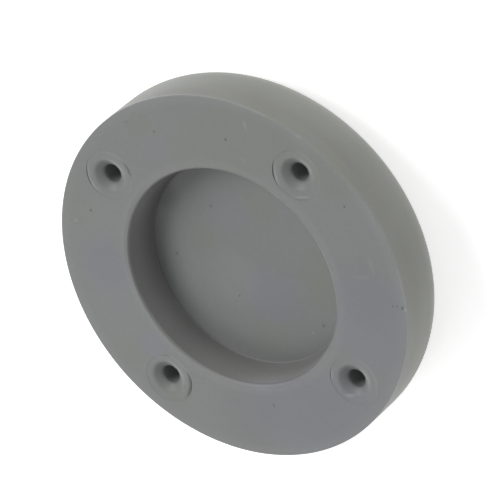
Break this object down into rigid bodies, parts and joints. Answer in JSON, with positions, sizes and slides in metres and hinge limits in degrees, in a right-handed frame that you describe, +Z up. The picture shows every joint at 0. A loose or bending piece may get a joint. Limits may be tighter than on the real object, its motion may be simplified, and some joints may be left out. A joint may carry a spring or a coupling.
{
  "type": "appliance foot",
  "caption": "Round solid rubber appliance foot with a shallow round recess and blind pilot holes in its flat mounting face, and a flat tread with a rolled edge.",
  "frame": {"origin": "centre of the tread, the flat face that stands on the floor", "axes": "+Z up the pad's axis, out of the mounting face; the pilot holes lie on the diagonals between X and Y"},
  "size_m": [0.08, 0.08, 0.017],
  "materials": {
    "foot_rubber": "matte"
  },
  "bodies": {
    "root": {"foot": "foot_rubber"}
  },
  "joints": []
}
